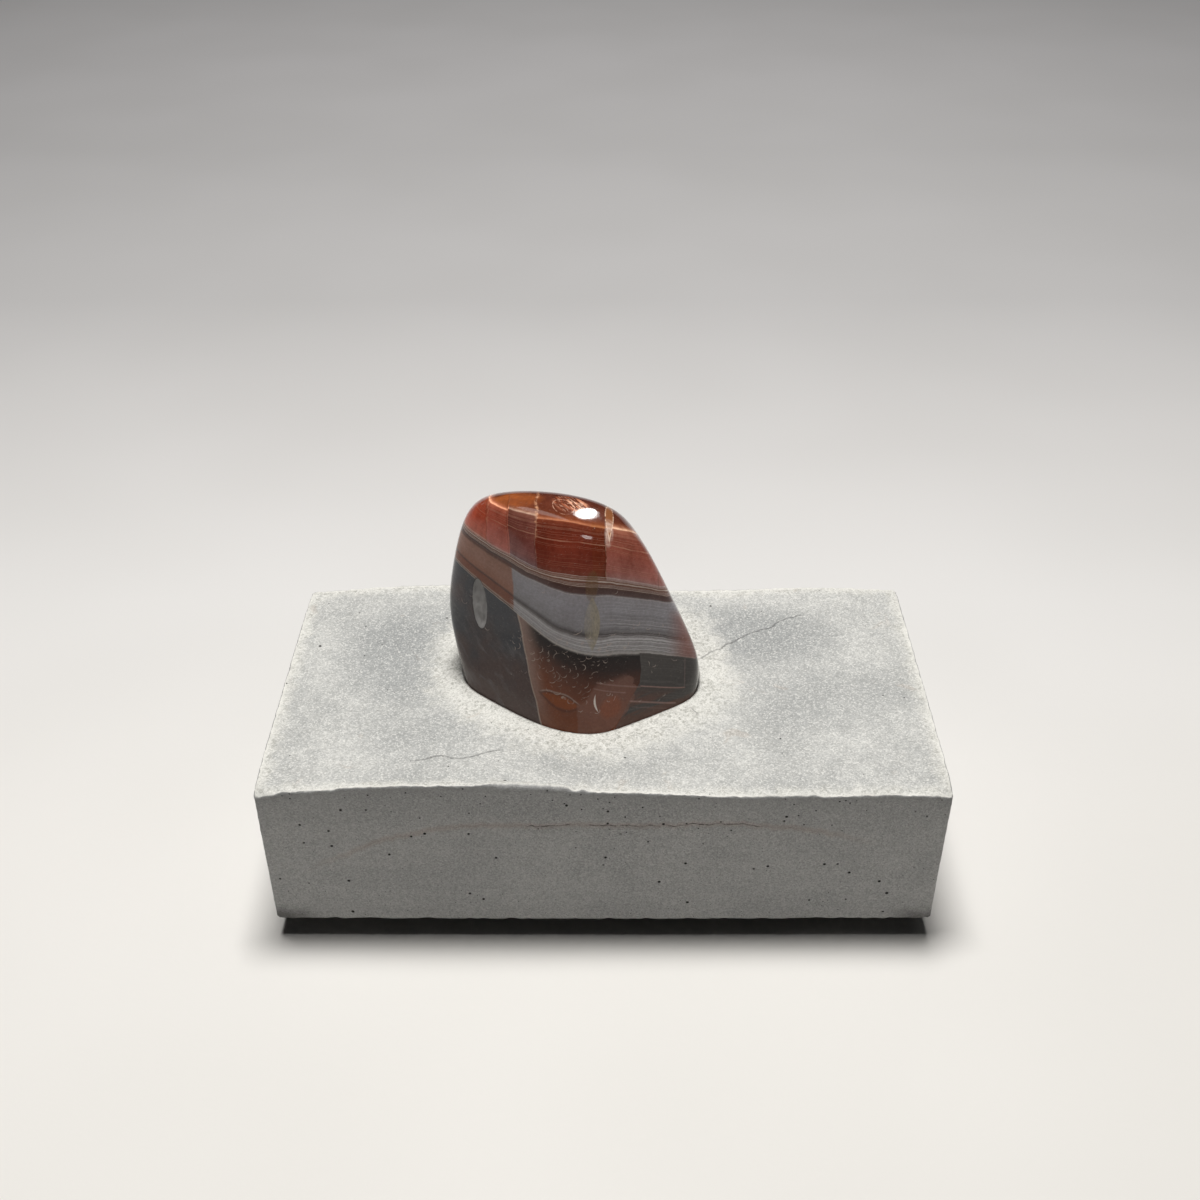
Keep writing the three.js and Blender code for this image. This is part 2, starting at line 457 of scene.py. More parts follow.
agate = {
    "middle": (-5.0, 3.0, 40.5),
    "ridgeSharpness": 14,
    "flats": [  # azimuth, elevation, distance from the middle
        (230, 9, 12.0),  # front left
        (247, 9, 13.6),  # front left of the rounding
        (264, 9, 14.9),  # rounded front
        (264, 14.5, 13.4),  # rounded front, higher
        (301.6, 14.8, 12.9),  # front right
        (268, 38, 17.4),  # upper front
        (282, 64, 20.4),  # front edge of the top
        (182, -14, 19.3),  # left end, low
        (178, 14, 19.7),  # left end, high
        (170, 54, 23.0),  # top left corner
        (60, 84, 20.6),  # top
        (8.7, 64, 17.9),  # top right
        (8.1, 24.4, 16.9),  # right shoulder, front
        (20.4, 21.8, 14.4),  # right shoulder
        (10.7, 18, 19.5),  # right end
        (352, -10, 22.0),  # right end, low
        (88, 5, 13.0),  # back
        (138, 5, 17.5),  # back left
        (65.6, 37.7, 15.8),  # back right
        (90, 52, 17.5),  # back edge of the top
        (0, -90, 20.0),  # underside
    ],
    "pit": {"azimuth": 195.5, "elevation": 13.6, "lean": 18, "halfWidth": 1.45, "halfHeight": 3.9,
            "depth": 0.3},
    "waviness": 0.05,
    "meshLevel": 7,
}
stoneMiddle = np.array(agate["middle"])
baseTopLevel = 28.5


def unitVector(azimuth, elevation):
    a, e = math.radians(azimuth), math.radians(elevation)
    return np.array([math.cos(a) * math.cos(e), math.sin(a) * math.cos(e), math.sin(e)])


flatPulls = np.array([unitVector(a, e) / distance for a, e, distance in agate["flats"]])


# Distance from the middle to the surface along unit rows
def stoneReach(outward):
    power = agate["ridgeSharpness"]
    return (np.maximum(0.0, outward @ flatPulls.T) ** power).sum(axis=1) ** (-1 / power)


def stonePoint(azimuth, elevation):
    outward = unitVector(azimuth, elevation)
    return stoneMiddle + outward * stoneReach(outward[None])[0]


def pitFrame():
    azimuth, elevation = agate["pit"]["azimuth"], agate["pit"]["elevation"]
    across = stonePoint(azimuth + 1, elevation) - stonePoint(azimuth - 1, elevation)
    upward = stonePoint(azimuth, elevation + 1) - stonePoint(azimuth, elevation - 1)
    outward = np.cross(across, upward)
    across, outward = across / np.linalg.norm(across), outward / np.linalg.norm(outward)
    lean = math.radians(agate["pit"]["lean"])
    across = across * math.cos(lean) + np.cross(outward, across) * math.sin(lean)
    return stonePoint(azimuth, elevation), across, np.cross(outward, across), outward


def buildAgate(material):
    shell = bmesh.new()
    bmesh.ops.create_icosphere(shell, subdivisions=agate["meshLevel"], radius=1.0)
    outward = np.array([vertex.co[:] for vertex in shell.verts])
    outward /= np.linalg.norm(outward, axis=1)[:, None]
    faces = [[vertex.index for vertex in face.verts] for face in shell.faces]
    shell.free()
    points = stoneMiddle + outward * stoneReach(outward)[:, None]
    points += outward * (roughness3d(points, 8.0, 2) * agate["waviness"])[:, None]
    # Unpolished oval pit, with a ribbed floor
    pit = agate["pit"]
    centre, across, upward, out = pitFrame()
    away = points - centre
    fromPit = (away @ across / pit["halfWidth"]) ** 2 + (away @ upward / pit["halfHeight"]) ** 2
    fromPit[outward @ out < 0] = 9.0
    floor = np.clip((1 - fromPit) * 2.2, 0.0, 1.0)
    ribs = roughness3d(points * np.array([1.0, 1.0, 0.6]), 0.9, 3) * 0.12
    points -= out * (floor * (pit["depth"] + ribs))[:, None]
    piece = newPiece("agate_nugget", points, faces, material)
    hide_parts("agate")
    return piece


agateColours = {
    # Level in mm above the base's top along the layers, and the stone's colour there
    "layers": [
        (-8, (0.09, 0.03, 0.016)),
        (2.5, (0.2, 0.062, 0.026)),
        (6.5, (0.19, 0.055, 0.022)),
        (8.8, (0.1, 0.03, 0.014)),
        (10.4, (0.024, 0.01, 0.008)),
        (11.8, (0.01, 0.006, 0.006)),
        (12.02, (0.46, 0.43, 0.41)),
        (12.25, (0.29, 0.28, 0.285)),
        (13.6, (0.38, 0.365, 0.375)),
        (13.95, (0.17, 0.155, 0.155)),
        (14.3, (0.085, 0.074, 0.077)),
        (14.75, (0.26, 0.25, 0.265)),
        (17.2, (0.32, 0.31, 0.335)),
        (18.6, (0.33, 0.315, 0.335)),
        (18.85, (0.12, 0.075, 0.068)),
        (19.5, (0.085, 0.048, 0.044)),
        (19.68, (0.17, 0.095, 0.075)),
        (20.3, (0.2, 0.1, 0.075)),
        (20.9, (0.22, 0.095, 0.062)),
        (21.1, (0.2, 0.062, 0.038)),
        (22.0, (0.21, 0.048, 0.027)),
        (25.0, (0.17, 0.03, 0.014)),
        (27.3, (0.12, 0.022, 0.01)),
        (28.1, (0.18, 0.042, 0.018)),
        (28.28, (0.6, 0.24, 0.11)),
        (28.5, (0.27, 0.075, 0.03)),
        (29.4, (0.15, 0.04, 0.021)),
        (34, (0.13, 0.033, 0.02)),
    ],
    # The same for the brown stretch at the left of the grey band
    "brownStretch": [
        (11.9, (0.05, 0.03, 0.025)),
        (12.05, (0.4, 0.35, 0.31)),
        (12.25, (0.13, 0.062, 0.045)),
        (12.5, (0.36, 0.27, 0.22)),
        (12.75, (0.22, 0.08, 0.045)),
        (14.1, (0.2, 0.065, 0.036)),
        (14.4, (0.08, 0.035, 0.026)),
        (14.8, (0.29, 0.13, 0.085)),
        (16.6, (0.32, 0.165, 0.12)),
        (18.5, (0.3, 0.155, 0.11)),
        (18.9, (0.11, 0.05, 0.038)),
        (19.5, (0.17, 0.072, 0.05)),
    ],
    # Tints between the healed fractures above the cream lines, by mm along the length
    "panels": [
        (-26, (2.5, 2.5, 2.7)),
        (-17.0, (2.5, 3.1, 4.2)),
        (-13.8, (1.2, 2.0, 3.3)),
        (-9.5, (1.05, 1.05, 1.2)),
        (-1.6, (0.98, 1.0, 0.95)),
        (0.5, (2.1, 3.4, 5.0)),
        (8.3, (2.25, 3.6, 5.3)),
    ],
    "fractures": [-17.0, -13.8, -9.5, 0.5, 8.3],
    # How pale each fracture's line is, and how strongly it flakes near the top
    "fractureLines": [0.3, 0.2, 0.5, 1.0, 0.3],
    "fractureFlakes": [1.0, 0.0, 1.0, 0.3, 0.2],
    "slate": (0.056, 0.058, 0.067),
    "slateBrown": (0.094, 0.062, 0.056),
    "darkPanel": (0.076, 0.068, 0.064),
    "bruise": (0.46, 0.37, 0.32),
    # Height at the middle, ends along the length, half width and strength
    "straightLines": [(7.84, 5.6, 12.5, 0.09, 0.85), (7.7, -1.0, 5.6, 0.12, 0.45),
                      (6.7, -1.4, 3.4, 0.08, 0.5),
                      (5.45, 4.0, 11.1, 0.13, 0.7), (4.6, 4.4, 10.2, 0.06, 0.3)],
}


# Level of the layers: tilted down to the right, flatter higher up, and twisted in depth
def layerLevel(place, x, y, z):
    lean = product(x, scaled(z, -0.0103, 0.536))
    twist = total(scaled(z, 0.0264, -0.219), product(x, 0.0171))
    bow = scaled(product(y, y), 0.0149, -0.45)
    sway = product(minus(cloud(place, 9.0, detail=1), 0.5), 1.3)
    ripple = product(minus(cloud(place, 1.7, detail=2), 0.5), 0.28)
    return total(z, lean, product(y, twist), bow, sway, ripple)


# How far a place lies along a fixed vector
def alongVector(place, vector):
    return calc("DOT_PRODUCT", place, tuple(map(float, vector)), kind="VectorMath")


# Place across a shape in shares of its half width
def shareOf(value, centre, half):
    return over(minus(value, centre), half)


# 1 inside an oval on two axes
def oval(x, z, centreX, centreZ, halfX, halfZ, soft=0.25):
    across, upward = shareOf(x, centreX, halfX), shareOf(z, centreZ, halfZ)
    away = total(product(across, across), product(upward, upward))
    return ramped(away, 1.0 + soft, 1.0 - soft)


# How far out a place lies in a leaf pointed at both ends of its long axis: 1 on its outline
def leafShare(wide, long, centreWide, centreLong, halfWide, halfLong):
    across = absolute(shareOf(wide, centreWide, halfWide))
    along = shareOf(long, centreLong, halfLong)
    return total(across, product(along, along))


# Layers, panels between the fractures, and fine lines
def agateLayers(place, bentX, level):
    colours = agateColours
    tone = colourStops(level, colours["layers"], -8, 34)
    brown = colourStops(level, colours["brownStretch"], 11.9, 19.5)
    brownMask = product(ramped(bentX, -13.1, -13.4), within(level, 11.95, 19.2, 0.1))
    tone = paint(tone, brown, brownMask)
    mottle = ramped(cloud(place, 2.4, detail=5, roughness=0.6), 0.3, 0.7)
    tone = paint(tone, (0.74, 0.7, 0.68), product(mottle, 0.45), "MULTIPLY")

    upper = ramped(level, 20.5, 21.0)
    panelTint = colourStops(bentX, colours["panels"], -26, 16, "CONSTANT")
    tone = paint(tone, panelTint, product(upper, ramped(level, 29.2, 28.2)), "MULTIPLY")
    shade = ramped(cloud(stretched(place, (1.0, 1.0, 0.45)), 1.5, detail=4, roughness=0.6), 0.4, 0.66)
    tone = paint(tone, (0.62, 0.5, 0.46), product(upper, shade, 0.5), "MULTIPLY")

    redLines = useGroup(fineLayers, Level=level, Spacing=0.45, Unevenness=0.9, Thinness=0.5,
                        Place=place)["Lines"]
    redReach = total(0.34, product(ramped(bentX, -2.0, 2.0), 0.25))
    redMask = product(redLines, within(level, 21.2, 27.6, 0.3), redReach)
    tone = paint(tone, (0.56, 0.3, 0.2), redMask)
    creamLines = useGroup(fineLayers, Level=total(level, 0.1), Spacing=0.36, Unevenness=0.35, Thinness=0.3,
                          Place=place)["Lines"]
    creamMask = product(creamLines, within(level, 19.6, 21.1, 0.1), 0.8)
    tone = paint(tone, (0.62, 0.52, 0.46), creamMask)
    greyLines = useGroup(fineLayers, Level=level, Spacing=0.34, Unevenness=0.5, Thinness=0.15,
                         Place=place)["Lines"]
    greyReach = total(product(ramped(level, 14.0, 13.4), 0.6), product(ramped(bentX, -3.0, 3.0), 0.34),
                      0.05)
    greyMask = product(greyLines, within(level, 12.1, 18.7, 0.1), greyReach, ramped(bentX, -14.0, -13.0))
    tone = paint(tone, (0.6, 0.585, 0.59), greyMask)
    edgeLine = product(within(level, 18.62, 18.7, 0.07), ramped(bentX, -14.0, -13.0), 0.7)
    tone = paint(tone, (0.5, 0.46, 0.45), edgeLine)
    grainy = ramped(cloud(stretched(place, (1.0, 1.0, 2.2)), 0.5, detail=4, roughness=0.7), 0.35, 0.65)
    greyGrain = product(grainy, within(level, 12.1, 18.7, 0.1), 0.22)
    tone = paint(tone, (0.6, 0.58, 0.58), greyGrain, "MULTIPLY")
    darkLines = useGroup(fineLayers, Level=total(level, 3.3), Spacing=0.9, Unevenness=0.9, Thinness=0.3,
                         Place=place)["Lines"]
    darkMask = product(darkLines, within(level, 12.4, 18.3, 0.3), ramped(bentX, -4.0, 4.0), 0.35)
    tone = paint(tone, (0.1, 0.09, 0.095), darkMask)

    # The right end reddens
    redEnd = product(ramped(bentX, 9.0, 13.0), within(level, 11.8, 17.5, 0.8))
    return paint(tone, (0.27, 0.1, 0.075), product(redEnd, 0.8))


# Below the grey band: slate at the left, dark panels at the right, brown between
def belowTheBand(place, tone, level, bentX, z):
    colours = agateColours
    below = ramped(level, 12.05, 11.95)
    leftEdge = total(bentX, product(z, 0.2), 9.3)
    slateCloud = ramped(total(cloud(place, 6.0, detail=3), product(z, -0.035)), -0.05, 0.35)
    slate = paint(colours["slate"], colours["slateBrown"], slateCloud)
    drawn = stretched(place, (0.3, 0.8, 1.5), (0.0, math.radians(-38), 0.0))
    wisps = ramped(cloud(drawn, 2.0, detail=4, roughness=0.55, distortion=0.4), 0.5, 0.78)
    slate = paint(slate, (0.16, 0.145, 0.145), product(wisps, 0.55))
    tone = paint(tone, slate, product(below, ramped(leftEdge, 0.08, -0.08)))

    panelEdge = scaled(highest(minus(6.0, z), 0.0), -0.65, 5.5)
    panelMask = product(below, ramped(minus(bentX, panelEdge), -0.06, 0.1))
    lines = useGroup(fineLayers, Level=level, Spacing=0.42, Unevenness=0.8, Thinness=0.3,
                     Place=place)["Lines"]
    dark = paint(colours["darkPanel"], (0.13, 0.115, 0.11), product(lines, 0.55))
    stripes = ramped(cloud(stretched(place, (0.15, 0.15, 1.2)), 1.6, detail=3), 0.4, 0.55)
    dark = paint(dark, (0.125, 0.066, 0.05), product(ramped(level, 9.0, 7.0), stripes))
    tone = paint(tone, dark, panelMask)

    # Greyish rim where the brown stone meets the slate, on a healed fracture
    rimGlow = product(below, ramped(leftEdge, 2.8, 0.1), ramped(leftEdge, -0.1, 0.05))
    tone = paint(tone, (0.3, 0.2, 0.165), product(rimGlow, ramped(z, -3.0, 9.0), 0.85))
    rimLine = product(below, within(leftEdge, -0.1, 0.1, 0.1))
    return paint(tone, (0.42, 0.33, 0.28), product(rimLine, 0.8))


# Lenses and patches inside the stone, seen through its polished front
def frontPatches(place, tone, x, bentX, bentZ, z, front):
    # Orange eye low at the left, with a dark outline and a pale wisp over it
    eyeZ = total(bentZ, product(bentX, 0.18))
    eye = leafShare(eyeZ, bentX, 3.9, -6.3, 1.25, 3.0)
    tone = paint(tone, (0.05, 0.018, 0.012), product(within(eye, 0.85, 1.15, 0.25), front, 0.6))
    tone = paint(tone, (0.24, 0.06, 0.013), product(ramped(eye, 1.0, 0.6), front, 0.85))
    wisp = product(within(eye, 1.05, 1.22, 0.12), ramped(eyeZ, 3.9, 4.6), front,
                   ramped(cloud(place, 2.5, detail=2), 0.3, 0.6))
    tone = paint(tone, (0.42, 0.31, 0.26), product(wisp, 0.75))

    # Pinkish patch with a scalloped right side, and a bright flake in it
    rise = minus(5.3, z)
    scallop = absolute(calc("SINE", product(z, 2.0)))
    rightSide = total(product(product(rise, rise), -0.16), product(scallop, 0.45), 4.6)
    top = scaled(ramped(bentX, -3.4, -0.6), 2.9, 5.1)
    patch = product(ramped(bentX, -4.1, -3.7), ramped(minus(x, rightSide), 0.15, -0.15),
                    ramped(minus(bentZ, top), 0.5, -0.6), front)
    tone = paint(tone, (0.22, 0.105, 0.078), product(patch, 0.65))
    ember = product(patch, oval(bentX, bentZ, 1.2, 3.8, 1.6, 1.7, 0.6))
    tone = paint(tone, (0.28, 0.08, 0.034), product(ember, 0.6))
    flakeX = scaled(z, 0.16, x)
    flakeX = total(flakeX, product(product(minus(z, 4.9), minus(z, 4.9)), -0.16))
    flake = leafShare(flakeX, z, -0.42, 4.9, 0.16, 1.5)
    tone = paint(tone, (0.8, 0.72, 0.66), product(ramped(flake, 1.1, 0.8), front, 0.9))

    # Olive lens across the grey band, with a darker tail above it
    tail = product(oval(bentX, bentZ, -1.6, 22.6, 0.95, 2.2), front)
    tone = paint(tone, (0.17, 0.1, 0.045), product(tail, 0.4))
    olive = leafShare(x, z, -1.55, 17.0, 1.15, 4.0)
    fibres = ramped(cloud(stretched(place, (1.3, 1.3, 0.22)), 0.26, detail=2), 0.3, 0.7)
    oliveTone = paint((0.36, 0.315, 0.235), (0.27, 0.235, 0.18), fibres)
    strength = total(product(ramped(x, -2.5, -0.9), 0.45), product(fibres, -0.12), 0.45)
    return paint(tone, oliveTone, product(ramped(olive, 1.08, 0.92), front, strength))


# Straight pinkish lines across the dark panels and the patch, and one up their right side
def straightLines(tone, x, z, front):
    slope = scaled(x, 0.425, z)
    for at, start, end, half, strength in agateColours["straightLines"]:
        line = product(within(slope, at - half, at + half, 0.08), within(x, start, end, 0.15), front)
        tone = paint(tone, (0.34, 0.21, 0.18), product(line, strength))
    upright = product(within(x, 12.4, 12.5, 0.1), within(z, 2.7, 7.0, 0.3), front, 0.5)
    return paint(tone, (0.3, 0.21, 0.19), upright)


# Fractures, flakes and the crackled patch near the top
def crownMarks(place, tone, x, y, z, bentX, level):
    upper = ramped(level, 20.5, 21.0)
    crown = ramped(z, 28.4, 30.6)
    broken = ramped(cloud(place, 0.7, detail=3), 0.35, 0.6)
    flakes = ramped(cloud(place, 1.3, detail=4, roughness=0.7), 0.46, 0.62)
    amber = product(oval(x, y, -12.8, 2.4, 3.6, 2.4, 0.7), ramped(level, 28.4, 28.9))
    amberCloud = ramped(cloud(place, 2.0, detail=3), 0.25, 0.65)
    tone = paint(tone, (0.42, 0.115, 0.03), product(amber, scaled(amberCloud, -0.45, 0.85)))
    colours = agateColours
    for at, pale, bright in zip(colours["fractures"], colours["fractureLines"], colours["fractureFlakes"]):
        shadow = product(within(bentX, at - 0.16, at - 0.02, 0.08), upper)
        tone = paint(tone, (0.07, 0.022, 0.014), product(shadow, 0.35))
        line = product(within(bentX, at - 0.03, at + 0.05, 0.06), upper, broken)
        tone = paint(tone, (0.66, 0.4, 0.28), product(line, pale * 0.7))
        flake = product(within(bentX, at - 0.22, at + 0.22, 0.2), crown, flakes, bright * 0.7)
        tone = paint(tone, (0.8, 0.42, 0.24), flake)

    # A flame-shaped flake running over the right shoulder; its pale outline and the pale blur at its end are
    # a painted glint
    flame = leafShare(x, y, 0.95, 2.2, 0.62, 5.6)
    shoulder = ramped(z, 26.0, 27.0)
    tone = paint(tone, (0.34, 0.13, 0.05), product(ramped(flame, 1.0, 0.8), shoulder, 0.8))
    # Painted glint on the flake's outline
    edge = product(within(flame, 0.86, 1.02, 0.1), shoulder, broken)
    tone = paint(tone, (0.92, 0.66, 0.48), edge)
    glintBlur = product(oval(x, z, 0.9, 28.6, 0.55, 1.2, 0.95), ramped(y, 1.5, 0.0),
                   ramped(cloud(place, 0.9, detail=2), 0.2, 0.8))
    tone = paint(tone, (0.92, 0.74, 0.64), product(glintBlur, 0.75))

    # Crackled fan on the crown, brightest along its right side
    drawn = stretched(place, (1.0, 0.26, 0.5), (0.0, 0.0, math.radians(-40)))
    fan = product(oval(x, y, -4.6, 2.3, 2.6, 2.6, 0.35), ramped(z, 24.0, 27.0))
    hot = product(oval(x, y, -3.6, 3.0, 1.5, 2.2, 0.5), fan)
    shardTone = split(cells(drawn, 2.2, distance="CHEBYCHEV").outputs["Color"])[0]
    slivers = ramped(cloud(drawn, 0.28, detail=3, roughness=0.7), 0.5, 0.6)
    tone = paint(tone, (0.17, 0.04, 0.018), product(fan, 0.6))
    tone = paint(tone, (0.55, 0.16, 0.075), product(fan, calc("GREATER_THAN", shardTone, 0.6), 0.55))
    tone = paint(tone, (0.85, 0.36, 0.2), product(hot, calc("GREATER_THAN", shardTone, 0.45), 0.8))
    tone = paint(tone, (1.0, 0.62, 0.44), product(fan, slivers, total(product(hot, 0.6), 0.3)))
    # A closed loop at the fan's left
    aroundX, aroundY = shareOf(x, -5.7, 1.6), shareOf(y, 1.1, 2.0)
    loop = total(product(aroundX, aroundX), product(aroundY, aroundY))
    loopLine = product(within(loop, 0.92, 1.06, 0.07), ramped(z, 24.0, 27.0), broken)
    return paint(tone, (0.8, 0.46, 0.32), product(loopLine, 0.7))


def buildAgateMaterial():
    material, shader = newMaterial("polishedAgate", IOR=1.54, Specular_IOR_Level=0.24)
    place = placeInMm((0.0, 0.0, baseTopLevel))
    x, y, z = axes(place)
    drift = cloud(place, 5.0, detail=2, output="Color")
    warp = calc("MULTIPLY_ADD", drift, (1.1,) * 3, (-0.55,) * 3, kind="VectorMath")
    bentX, _, bentZ = axes(calc("ADD", place, warp, kind="VectorMath"))
    front = ramped(y, 1.0, -1.5)

    # The upper layers slip a little at each healed fracture
    level = layerLevel(place, x, y, z)
    loose = ramped(level, 20.4, 22.0)
    for at, slip in zip(agateColours["fractures"], (0.3, -0.35, 0.3, -0.15, 0.1)):
        step = product(ramped(bentX, at - 0.05, at + 0.05), slip)
        level = total(level, product(step, loose))

    tone = agateLayers(place, bentX, level)
    tone = belowTheBand(place, tone, level, bentX, z)
    tone = frontPatches(place, tone, x, bentX, bentZ, z, front)
    tone = straightLines(tone, x, z, front)
    tone = crownMarks(place, tone, x, y, z, bentX, level)

    # Fine mottle and faint scratches all over
    fine = ramped(cloud(place, 0.45, detail=5, roughness=0.75), 0.36, 0.64)
    tone = paint(tone, (0.66, 0.63, 0.62), product(fine, 0.45), "MULTIPLY")
    motes = ramped(cloud(stretched(place, (0.5, 1.0, 1.6), (0.2, 0.5, 0.0)), 0.3, detail=3, roughness=0.7),
                   0.6, 0.74)
    tone = paint(tone, agateColours["bruise"], product(motes, 0.22))

    # Crescent-shaped bruises from tumbling, thickest under the band
    field = product(oval(x, z, -6.0, 11.8, 7.5, 3.6, 0.4), front)
    wider = product(oval(x, z, -2.0, 10.5, 11.0, 6.0, 0.5), front, 0.35)
    elsewhere = product(ramped(cloud(place, 6.0, detail=1), 0.5, 0.62), 0.07)
    share = highest(highest(field, wider), elsewhere)
    arcs = useGroup(bruises, Place=place, Spacing=1.35, Reach=0.62, Share=share)["Arc"]
    turned = stretched(place, (1.0, 1.0, 1.25), (0.4, 0.3, 0.9))
    moreArcs = useGroup(bruises, Place=turned, Spacing=1.15, Reach=0.5, Share=product(share, 0.7))["Arc"]
    uneven = ramped(cloud(place, 0.8, detail=2), 0.3, 0.62)
    crescents = product(highest(arcs, moreArcs), scaled(uneven, 0.7, 0.3))
    tone = paint(tone, agateColours["bruise"], product(crescents, 0.7))
    dust = useGroup(pinholes, Place=place, Spacing=0.9, Radius=0.06, Share=0.35)["Hole"]
    tone = paint(tone, agateColours["bruise"], product(dust, 0.3))

    # Unpolished pit with an upright grain
    pit = agate["pit"]
    centre, across, upward, out = pitFrame()
    centre = centre - (0.0, 0.0, baseTopLevel)
    halves = ((across, pit["halfWidth"]), (upward, pit["halfHeight"]))
    shares = [shareOf(alongVector(place, axis), float(centre @ axis), half) for axis, half in halves]
    fromPit = total(product(shares[0], shares[0]), product(shares[1], shares[1]))
    sameSide = ramped(alongVector(place, out), float(centre @ out) - 3.0, float(centre @ out) - 2.0)
    pitMask = product(ramped(fromPit, 1.06, 0.98), sameSide)
    pitRim = product(within(fromPit, 1.04, 1.16, 0.05), sameSide)
    pitGrain = useGroup(sandGrain, Place=stretched(place, (1.0, 1.0, 0.28)), Size=0.42, Softness=0.4)
    pitTone = paint((0.19, 0.185, 0.183), (0.4, 0.385, 0.38), pitGrain["Speckle"])
    tone = paint(tone, pitTone, pitMask)
    tone = paint(tone, (0.03, 0.028, 0.028), product(pitRim, 0.6))

    feed(shader["Base Color"], tone)
    smear = cloud(place, 4.0, detail=3)
    polish = total(scaled(smear, 0.1, 0.03), product(crescents, 0.25), product(pitMask, 0.6))
    feed(shader["Roughness"], polish)
    relief = total(product(crescents, -0.4), product(cloud(place, 1.2, detail=2), 0.12),
                   product(pitMask, pitGrain["Height"], 1.2))
    feed(shader["Normal"], bump(relief, 0.35, 0.00012))
    return material


agatePiece = buildAgate(buildAgateMaterial())
print("agate built:", len(agatePiece.data.polygons), "faces")


# The cast base

base = {
    "length": 100.0,
    "depth": 53.0,
    "bottom": 3.1,
    "height": 25.4,
    "draft": 0.4,
    "sideBulge": 0.15,
    "cornerRadius": 0.7,
    "smallestRadius": 0.3,
    "bottomBevel": 0.7,
    "frontWaves": [(-22, 16, 0.9), (22, 15, -0.65)],  # along the length, reach, rise
    "backWaves": [(-28, 15, 1.3), (38, 15, 0.7)],
    "frontCornerDrop": 1.0,
    "backCornerDrop": 0.4,
    "collarRise": 0.35,
    "frontChips": [(-10.5, 5.6, 1.1), (-2.8, 0.9, 0.6)],  # along the length, half width, depth
    "lipSteps": [(-46.5, 0.5), (-38, 0.3), (-17.5, 0.3), (-4.6, -0.7), (14, -0.15),
                 (31, -0.25)],  # place, rise
    "nick": {"at": -2.9, "reach": 0.5, "rise": 0.35},
    "lipReach": 2.5,
    "socketGap": 0.12,
    "topRings": 45,
    "sideRings": 37,
    "seam": {"z": -5.8, "from": -13.0, "to": 23.0, "depth": 0.12, "middle": 3.0, "level": 18.0,
             "droop": 0.011},
}
baseTop = base["bottom"] + base["height"]


def bell(distance, reach):
    return np.exp(-((distance / reach) ** 2))


def topHeight(x, y):
    across = np.abs(x) / (base["length"] / 2)
    deep = y / (base["depth"] / 2)
    front = sum(rise * bell(x - at, reach) for at, reach, rise in base["frontWaves"])
    back = sum(rise * bell(x - at, reach) for at, reach, rise in base["backWaves"])
    most = np.where(deep < 0, base["frontCornerDrop"], base["backCornerDrop"])
    drop = most * (across * np.abs(deep)) ** 16
    away = np.hypot(x - stoneMiddle[0], y - stoneMiddle[1])
    collar = base["collarRise"] * bell(np.maximum(0, away - 18), 4)
    return baseTop + np.where(deep < 0, front, back) * deep ** 2 - drop + collar


# Small uneven steps in the poured lip, in mm, as the fill ran against the mould
def lipSteps(x, y):
    steps = sum(rise * (np.tanh((x - at) / 0.5) + 1) / 2 for at, rise in base["lipSteps"])
    nick = base["nick"]["rise"] * bell(x - base["nick"]["at"], base["nick"]["reach"])
    front = np.clip(1 - (y + base["depth"] / 2) / base["lipReach"], 0, 1)
    return (steps + nick) * front


def chipDepth(x, y):
    depth = sum(deep * np.exp(-(((x - at) / half) ** 4)) for at, half, deep in base["frontChips"])
    return np.where(y < -base["depth"] / 2 + base["cornerRadius"], depth, 0.0)


# Rounded rectangle with swollen sides, as x and y of one ring
def baseOutline(inset):
    halfLength = base["length"] / 2 - base["sideBulge"] - inset
    halfDepth = base["depth"] / 2 - base["sideBulge"] - inset
    radius = max(base["cornerRadius"] - inset, base["smallestRadius"])
    turns = [(1, -1), (1, 1), (-1, 1), (-1, -1)]
    corners = [(sx * (halfLength - radius), sy * (halfDepth - radius)) for sx, sy in turns]
    points = []
    for side, (cornerX, cornerY) in enumerate(corners):
        for angle in np.linspace((side - 1) * math.pi / 2, side * math.pi / 2, 12):
            points.append((cornerX + radius * math.cos(angle), cornerY + radius * math.sin(angle)))
        nextCorner = corners[(side + 1) % 4]
        alongX = side % 2 == 1
        steps = 290 if alongX else 140
        endX, endY = points[-1]
        for share in np.arange(1, steps) / steps:
            points.append((endX + (nextCorner[0] - endX) * share, endY) if alongX
                          else (endX, endY + (nextCorner[1] - endY) * share))
    x, y = np.array(points).T
    across, deep = x / halfLength, y / halfDepth
    return x + base["sideBulge"] * across * (1 - deep ** 2), y + base["sideBulge"] * deep * (1 - across ** 2)


# Points on the socket's wall; share 0 at the top, 1 at its lowest point
def socketRing(edgeX, edgeY, share):
    heading = np.column_stack([edgeX - stoneMiddle[0], edgeY - stoneMiddle[1], np.zeros(len(edgeX))])
    heading /= np.linalg.norm(heading, axis=1)[:, None]
    drop = baseTop - stoneMiddle[2]
    low, high = np.full(len(edgeX), -1.5), np.zeros(len(edgeX))
    for _ in range(40):  # find the direction that meets the level of the base's top
        tilt = (low + high) / 2
        outward = heading * np.cos(tilt)[:, None] + np.array([0, 0, 1]) * np.sin(tilt)[:, None]
        reached = (stoneReach(outward) + base["socketGap"]) * np.sin(tilt)
        low, high = np.where(reached < drop, tilt, low), np.where(reached < drop, high, tilt)
    tilt = tilt + (-math.pi / 2 - tilt) * share
    outward = heading * np.cos(tilt)[:, None] + np.array([0, 0, 1]) * np.sin(tilt)[:, None]
    return stoneMiddle + outward * (stoneReach(outward) + base["socketGap"])[:, None]


